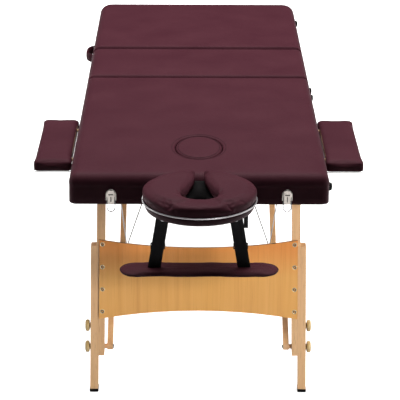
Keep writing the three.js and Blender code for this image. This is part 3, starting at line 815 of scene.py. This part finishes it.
def shelf():
    x0, x1, s0, s1, z0, z1 = millimetres("arm_shelf")
    mid, deep, half = (s0 + s1) / 2, (s1 - s0) / 2, (x1 - x0) / 2

    def outline(k, z):
        straight = half - deep
        right = arc(straight, mid, deep - k, -math.pi / 2, math.pi / 2, 22)
        left = arc(-straight, mid, deep - k, math.pi / 2, 1.5 * math.pi, 22)
        top = [(straight - 2 * straight * i / 24, mid + deep - k) for i in range(1, 24)]
        bottom = [(-straight + 2 * straight * i / 24, mid - deep + k) for i in range(1, 24)]
        return [point(x, s, z + 0.9 * math.sin(x / 23)) for x, s in right + top + left + bottom]

    levels = [(4, z0 + 0.4)] + [(5 - 5 * math.sin(math.pi * k / 8), z0 + 0.5 + (z1 - z0 - 1) * k / 8)
                                for k in range(1, 8)]
    levels += [(6, z1 - 0.4), (20, z1), (32, z1)]
    board = lofted("shelf_pad", [outline(*level) for level in levels], "vinyl")
    puffed(board, 3.5, 3.0, z0)
    placed(board, "arm_shelf", "vinyl", "arm_shelf")
    edge = [point(v.x / MM, (v.y - HEAD_END) / MM, (z0 + z1) / 2) for v in outline(-0.2, 0)]
    seam("shelf_welt", edge, radius=1.3, body="arm_shelf")


def ribbon(name, path, width, thick, look, centre):
    """Flat strap along (s, z) points; centre(z) gives its middle's x and it lies level in x."""
    rings = []
    for i, (s, z) in enumerate(path):
        a, b = path[max(0, i - 1)], path[min(len(path) - 1, i + 1)]
        run = Vector((b[0] - a[0], b[1] - a[1])).normalized()
        ns, nz = -run.y * thick / 2, run.x * thick / 2
        x = centre(z)
        rings.append([point(x + dx * width / 2, s + side * ns, z + side * nz)
                      for dx, side in ((-1, -1), (-0.4, -1.15), (0.4, -1.15), (1, -1),
                                       (1, 1), (0.4, 1.15), (-0.4, 1.15), (-1, 1))])
    return lofted(name, rings, look)


def straps():
    s0, s1, z0 = millimetres("shelf_strap")[2:5]
    middle = (s0 + s1) / 2
    rod = 7.3
    slide_z = 568
    for name, side in SIDES.items():
        def centre(z, side=side):
            t = max(0.0, min(1.0, (LEG_Z - z) / (LEG_Z - z0)))
            return side * (95 + 25.5 * t)
        front, back = middle - 2.0, middle + 2.0
        path = [(middle + 12, z0 - 0.4), (middle - 1.5, z0 - 0.3), (front, z0 + 4), (front - 0.4, slide_z)]
        path += [(front - 1.5, LEG_Z - 22), (middle - rod + 1, LEG_Z - 8)]
        path += [(middle - rod * math.cos(a), LEG_Z + rod * math.sin(a))
                 for a in (math.pi * k / 10 for k in range(11))]
        path += [(back + 4.5, LEG_Z - 8), (back + 0.5, LEG_Z - 24), (back, slide_z - 14)]
        drop = ribbon(f"shelf_strap_{name}", path, 34, 1.7, "webbing", centre)
        placed(drop, "arm_shelf", "webbing")
        if side < 0:
            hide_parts("shelf_strap")
        cx = centre(slide_z)
        through = (middle - 3.3, middle + 3.3)
        bars = [block((cx - 19, cx + 19), through, (slide_z + h - 1.5, slide_z + h + 1.5))
                for h in (-7, 0, 7)]
        bars += [block((cx + e - 1.2, cx + e + 1.2), through, (slide_z - 8, slide_z + 8))
                 for e in (-18.2, 18.2)]
        slide = joined(f"strap_slide_{name}", "black", *bars)
        soften(slide, 1.1)
        placed(slide, "arm_shelf", "black_plastic")
    across = ribbon("shelf_strap_across", [(middle, z0 - 0.6), (middle, z0 + 0.6)], 2 * 137, 35, "webbing",
                    lambda z: 0)
    placed(across, "arm_shelf", "webbing")


# ---- armrests ----

def armrests():
    for name, side in SIDES.items():
        x0, x1, s0, s1, z0, z1 = millimetres(f"armrest_pad_{name}")
        wrap = [(13, 13, 13, z0 + 0.9), (11, 11, 11, z0 + 0.1)]
        cover = pad(f"armrest_cover_{name}", (x0, x1), (s0, s1), (z0 + 0.1, z1), (12, 12), (8, 8, 8),
                    crown=0.8, seed=8.3 * side, spread=9, below=wrap)
        puffed(cover, 5.0, 3.5, z0)
        placed(cover, f"armrest_{name}", "vinyl", f"armrest_pad_{name}")
        edge = plan((x1 - x0, s1 - s0), (x0 + 0.8, x1 - 0.8), (s0 + 0.8, s1 - 0.8), 12, 12)
        welt = [point(px, ps, z0 + 1.4) for px, ps in edge]
        seam(f"armrest_welt_{name}", welt, radius=1.1, body=f"armrest_{name}")


# ---- case fittings ----

def latch_fittings():
    """Base plates behind the draw latches, and the catches that their bails hook onto."""
    low, middle, shoulder = 638.5, 648, 656
    for name in SIDES:
        x0, x1, s0 = millimetres(f"latch_lever_{name}")[:3]
        mid = (x0 + x1) / 2
        face = [(mid + 14, low)] + arc(mid, shoulder, 14, 0, math.pi, 18) + [(mid - 14, low)]
        rings = [[point(mid + (x - mid) * k, s, middle + (z - middle) * k) for x, z in face]
                 for s, k in ((-0.3, 1), (-1.4, 1), (-2.0, 0.97))]
        plate = lofted(f"latch_plate_{name}", rings, "nickel")
        dome = turned(f"latch_dome_{name}", [(0, 9.5), (1.6, 9), (3.2, 7), (4.2, 3.5), (4.5, 0.3)],
                      point(mid, -2, 662), (0, -1, 0), "nickel", 28)
        barrel = turned(f"latch_pin_{name}", [(0, 2.4), (24, 2.4)], point(mid - 12, -5, 634), (1, 0, 0),
                        "steel", 14)
        for made in (plate, dome, barrel):
            placed(made, "head_half", "steel")
        # painted shade: thin black boxes on the lever's face stand in for the dark of its slot and centre gap
        front = (s0 - 0.35, s0 + 0.4)
        painted_slot_shade = joined(f"latch_slot_{name}", "black", block((mid - 6.5, mid + 6.5), front, (656, 659)),
                       block((mid - 1.2, mid + 1.2), front, (637, 652)))
        placed(painted_slot_shade, f"latch_lever_{name}", "steel")
        end = LENGTH + 0.5
        flat = [[point(mid + (x - mid) * k, LENGTH + 0.4 + d, middle + (z - middle) * k * 0.8)
                 for x, z in face] for d, k in ((0, 1), (1.1, 1), (1.8, 0.96))]
        catch = lofted(f"catch_plate_{name}", flat, "nickel")
        hook_line = [(end, 656), (end + 5, 657), (end + 7, 653), (end + 6.4, 648)]
        hook = ribbon(f"catch_hook_{name}", hook_line, 18, 1.6, "nickel", lambda z, mid=mid: mid)
        for made in (catch, hook):
            placed(made, "foot_half", "steel")


def bumpers():
    """Rubber feet that the closed case stands on, along its right side."""
    for number, (s, z, body) in enumerate(((82, 650, "head_half"), (893, 650, "head_half"),
                                           (967, 650, "foot_half"), (1778, 656, "foot_half"))):
        foot = turned(f"case_bumper_{number + 1}",
                      [(0, 12), (1.5, 12.4), (7, 11.6), (10.5, 10), (12.3, 7.5), (12.8, 3), (12.9, 0.3)],
                      point(HALF_WIDTH, s, z), (1, 0, 0), "rubber", 32)
        placed(foot, body, "rubber")


# ---- leg frames ----

def knob(half, level, name, side):
    """Turned wooden hand knob with a grooved rim, on a threaded insert and stem."""
    node = f"{half}_knob_{level}_{name}"
    x0, x1, s0, s1, z0, z1 = millimetres(node)
    mid_s, mid_z = (s0 + s1) / 2, (z0 + z1) / 2
    outer = x1 if side > 0 else x0
    radius = (z1 - z0) / 2
    axis = (side, 0, 0)
    length, turns, scallops, dent = 14.5, 60, 12, 0.035
    base = point(outer - side * length, mid_s, mid_z)
    profile = [(1.6, 7), (1.8, radius - 5.5), (2.6, radius - 2.6), (4.4, radius - 0.6), (7, radius),
               (10.4, radius), (12.6, radius - 1.2), (13.9, radius - 3.8), (14.5, radius - 7), (14.1, 0.4)]
    rings = lathe_rings(profile, base, axis, turns)
    for ring, (_, r) in zip(rings, profile):
        if r > radius - 3:
            for k, (p, a) in enumerate(zip(ring, angles(turns))):
                ring[k] = p.lerp(Vector((p.x, base.y, base.z)), dent * (1 + math.cos(scallops * a)) / 2)
    cap = lofted(f"{node}_cap", rings, "knob")
    stem = turned(f"{node}_stem", [(-22, 3.4), (-0.8, 3.4), (-0.8, 9), (0.6, 9), (0.6, 6.2), (1.8, 6.2)],
                  base, axis, "black", 28)
    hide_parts(node)
    for made, slot in ((cap, "knob"), (stem, "steel")):
        placed(made, node, slot)


def bolt(name, x, s, z, side, body, radius, tall=1.0):
    """Bolt head that stands out along x, domed, or flat where tall is small."""
    dome = ((1.1, radius * 1.25), (1.1, radius), (2.6, radius * 0.86), (3.6, radius * 0.5), (3.9, 0.3))
    profile = [(-3, radius * 0.6), (0, radius * 0.6), (0, radius * 1.25)]
    profile += [(d * tall, r) for d, r in dome]
    placed(turned(name, profile, point(x, s, z), (side, 0, 0), "steel", 24), body, "steel")


def panel_screws(half):
    """Countersunk screws that hold the panel to the two legs."""
    s0, s1 = millimetres(f"{half}_panel")[2:4]
    front, out = (s0, -1) if half == "head" else (s1, 1)
    for name, side in SIDES.items():
        for number, z in enumerate((459, 391, 323, 255)):
            x = side * (264.5 + splay_at(z) * 0.8)
            tag = f"{half}_panel_screw_{name}_{number + 1}"
            cup = turned(f"{tag}_cup", [(-1, 6.8), (0.2, 6.8), (0.9, 5.9), (0.5, 4.4), (-1, 4.4)],
                         point(x, front, z), (0, out, 0), "brass", 20)
            screw = turned(tag, [(-1, 4.4), (0.45, 4.4), (0.7, 3.4), (0.5, 1.8), (-0.6, 1.5), (-0.6, 0.2)],
                           point(x, front, z), (0, out, 0), "bronze", 20)
            for made in (cup, screw):
                placed(made, f"{half}_legs", "steel")


def knee_place():
    """(s, z) where the two brace bars meet when the legs stand."""
    s0, _, z0, _ = millimetres("head_brace_upper_left")[2:]
    inward = 10.5 * 0.97    # from the box of the bar's rounded end to its pivot
    return s0 + inward, z0 + inward


def level_spans(a, b):
    """Spans (from, to, blend start, blend end) that keep a wire from a to b under the deck when stowed.

    They are shares of the wire. At share u the unmoved wire hangs drop * u too low and the wire
    turned with the bar stands lift * (1 - u) too high; the blend mixes the two to come out level.
    """
    drop, lift = (a.z - b.z) / MM, (ANCHOR_S - CABLE_END_S) * math.sin(BRACE_STOWED)

    def eased(u):
        """Where the blend's smooth step takes the share of the bar that share u needs."""
        return 0.5 - math.sin(math.asin(1 - 2 * drop * u / (drop * u + lift * (1 - u))) / 3)

    marks = (0, 0.2, 0.4, 0.6, 0.8, 0.9, 0.96, 1)
    spans = []
    for u0, u1 in zip(marks, marks[1:]):
        step = (u1 - u0) / (eased(u1) - eased(u0))
        start = u0 - eased(u0) * step
        spans.append((u0, u1, start, start + step))
    return spans


def cables(half, name, side):
    """Steel cable from the end rail over the knee to the rail at the fold, with swaged ends."""
    knee_s, knee_z = knee_place()
    turn = (side * 211, along(half, knee_s), knee_z - 1)
    ends = (("end", (side * 213, along(half, CABLE_END_S), RAIL_MIDDLE - 1)),
            ("fold", (side * 60, along(half, 906.2), RAIL_MIDDLE - 1)))
    node = f"{half}_cable_{name}"
    for number, (tag, end) in enumerate(ends):
        a, b = point(*end), point(*turn)
        # near the fold the wire follows the bar
        spans = [(0, 1, 0, 0.08)] if tag == "fold" else level_spans(a, b)
        for part, (u0, u1, w0, w1) in enumerate(spans):
            path = [a.lerp(b, u0 + (u1 - u0) * k / 20) for k in range(21)]
            wire = tube(f"{node}_{tag}_{part}", path, 1.5 * MM, "steel", 8)
            if number == part == 0:
                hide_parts(node)
            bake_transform(wire)
        direction = (b - a).normalized()
        eye = turned(f"{node}_{tag}_ferrule", [(0, 2.4), (1, 3), (16, 3), (18, 1.6)], a, direction,
                     "steel", 14)
        placed(eye, f"{half}_half", "steel")
    spool = [(-5, 3), (-5, 6.5), (-4, 6.5), (-3, 4), (3, 4), (4, 6.5), (5, 6.5), (5, 3)]
    guide = turned(f"{node}_guide", spool, point(side * 211, along(half, knee_s), knee_z), (1, 0, 0),
                   "black", 20)
    placed(guide, f"{half}_braces_upper", "black_plastic")


def leg_frames():
    knee_s, knee_z = knee_place()
    for half in HALVES:
        panel_screws(half)
        for name, side in SIDES.items():
            for level in ("upper", "lower"):
                knob(half, level, name, side)
            cables(half, name, side)
            tag = f"{half}_{name}"
            bolt(f"leg_pivot_{tag}", side * 255.8, along(half, LEG_S), LEG_Z, -side, f"{half}_legs", 6)
            bolt(f"brace_pin_{tag}", side * 243.4, along(half, PIN_S), PIN_Z, -side,
                 f"{half}_braces_lower", 5.5)
            bolt(f"knee_bolt_{tag}", side * 259.4, along(half, knee_s), knee_z, side,
                 f"{half}_braces_lower", 5.5, tall=0.05)
            bolt(f"brace_anchor_{tag}", side * 215, along(half, ANCHOR_S), ANCHOR_Z, -side,
                 f"{half}_braces_upper", 5.5)


# ---- carried-over CAD nodes ----

def finish_nodes():
    """Materials and small edge roundings for the CAD nodes that stay in view."""
    finishes = {"head_frame": ("beech_along", 0), "foot_frame": ("beech_along", 0),
                "back_prop": ("beech_along", 1.0), "hinge_leaf_head": ("steel", 0),
                "hinge_leaf_foot": ("steel", 0), "hinge_pin": ("steel", 0), "cradle_frame": ("steel", 0.5)}
    pairs = [("armrest_board", "beech_along", 1.0), ("latch_lever", "nickel", 0.6), ("latch_bail", "wire", 0)]
    for half in HALVES:
        finishes[f"{half}_panel"] = ("plywood", 0.7)
        brace = f"beech_{half}_brace"
        pairs += [(f"{half}_leg", "beech_upright", 2.0), (f"{half}_extension", "beech_upright", 2.0),
                  (f"{half}_foot", "rubber", 1.0), (f"{half}_brace_lower", brace, 1.5),
                  (f"{half}_brace_upper", brace, 1.5)]
    finishes.update({f"{part}_{name}": (look, width) for part, look, width in pairs for name in SIDES})
    for node, (look, width) in finishes.items():
        obj = frame["nodes"][node]
        obj.data.materials.clear()
        obj.data.materials.append(LOOKS[look])
        if width:
            soften(obj, width)


# ---- stage ----

def camera():
    """Long lens in front of the head end, looking 20.5 degrees down, a touch turned and rolled."""
    data = bpy.data.cameras.new("camera")
    data.lens = 159.75
    data.sensor_width = 36
    data.clip_end = 100
    cam = bpy.data.objects.new("camera", data)
    cam.location = (-0.0266, -5.2185, 2.306)
    down, turned_by, rolled_by = 20.5, -0.372, 0.3
    pitch, yaw, roll = (math.radians(a) for a in (90 - down, turned_by, rolled_by))
    cam.rotation_euler = (Matrix.Rotation(yaw, 3, "Z") @ Matrix.Rotation(pitch, 3, "X")
                          @ Matrix.Rotation(roll, 3, "Z")).to_euler()
    bpy.context.scene.collection.objects.link(cam)
    bpy.context.scene.camera = cam


def area_light(name, place, aim, size, power, receivers=None):
    data = bpy.data.lights.new(name, "AREA")
    data.shape = "RECTANGLE"
    data.size, data.size_y = size
    data.energy = power
    light = bpy.data.objects.new(name, data)
    light.location = place
    light.rotation_euler = (Vector(aim) - Vector(place)).to_track_quat("-Z", "Y").to_euler()
    bpy.context.scene.collection.objects.link(light)
    if receivers:
        light.light_linking.receiver_collection = receivers


def stage():
    """White floor that glows without lighting the table, a dim sky, and soft area lights."""
    scene = bpy.context.scene
    scene.view_settings.view_transform = "Standard"
    bpy.ops.mesh.primitive_plane_add(size=60, location=(0, 0, -0.0005))
    floor = bpy.context.object
    floor.name = "floor"
    m = Shader("studio_floor", 0.9)
    m.bsdf.inputs["Base Color"].default_value = (0.8, 0.8, 0.8, 1)
    m.bsdf.inputs["Emission Color"].default_value = (1, 1, 1, 1)
    m.bsdf.inputs["Emission Strength"].default_value = 0.75
    floor.data.materials.append(m.material)
    floor.visible_diffuse = False
    floor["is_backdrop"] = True

    world = bpy.data.worlds.new("studio")
    world.use_nodes = True
    tree = world.node_tree
    place = tree.nodes.new("ShaderNodeTexCoord")
    split = tree.nodes.new("ShaderNodeSeparateXYZ")
    ramp = tree.nodes.new("ShaderNodeValToRGB")
    tree.links.new(place.outputs["Generated"], split.inputs[0])
    tree.links.new(split.outputs["Z"], ramp.inputs[0])
    tree.links.new(ramp.outputs["Color"], tree.nodes["Background"].inputs["Color"])
    stops = ((0.1, (0.008, 0.008, 0.008, 1)), (1.0, (0.1, 0.1, 0.107, 1)))
    for element, (height, colour) in zip(ramp.color_ramp.elements, stops):
        element.position, element.color = height, colour
    scene.world = world

    # the lights at the ends miss the vinyl and most fittings, so that those stay matt and grey
    wooden = bpy.data.collections.new("wood_and_trim")
    scene.collection.children.link(wooden)
    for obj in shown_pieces():
        looks = [m.name for m in obj.data.materials if m]
        if not any(word in look for look in looks for word in ("vinyl", "nickel", "steel", "black")):
            wooden.objects.link(obj)
    wooden.objects.link(floor)
    area_light("key", (0.3, 0.9, 4.6), (0, 0.2, 0.6), (4.5, 3.6), 360)
    area_light("rim_left", (-4.0, 0.6, 1.9), (0, 0.4, 0.6), (1.2, 2.4), 60)
    area_light("rim_right", (4.0, 0.6, 1.7), (0, 0.4, 0.6), (1.2, 2.4), 70)
    area_light("front", (1.8, -4.5, 1.9), (0, -0.7, 0.35), (1.5, 1.1), 158, wooden)
    area_light("front_low", (2.4, -5.0, 0.7), (0, -0.6, 0.3), (2.4, 1.2), 40, wooden)
    area_light("back", (-2.5, 4.8, 1.8), (0, 0.6, 0.4), (2.0, 1.4), 110, wooden)


def build():
    finish_nodes()
    head_cushion()
    plug()
    foot_cushions()
    foot_band()
    handle("carry_handle_head", "head_half", 456, 108, 1.6, 3.2)
    handle("carry_handle_foot", "foot_half", 1404, 72, 20, 9)
    cradle()
    shelf()
    straps()
    armrests()
    latch_fittings()
    bumpers()
    leg_frames()


build()
camera()
stage()
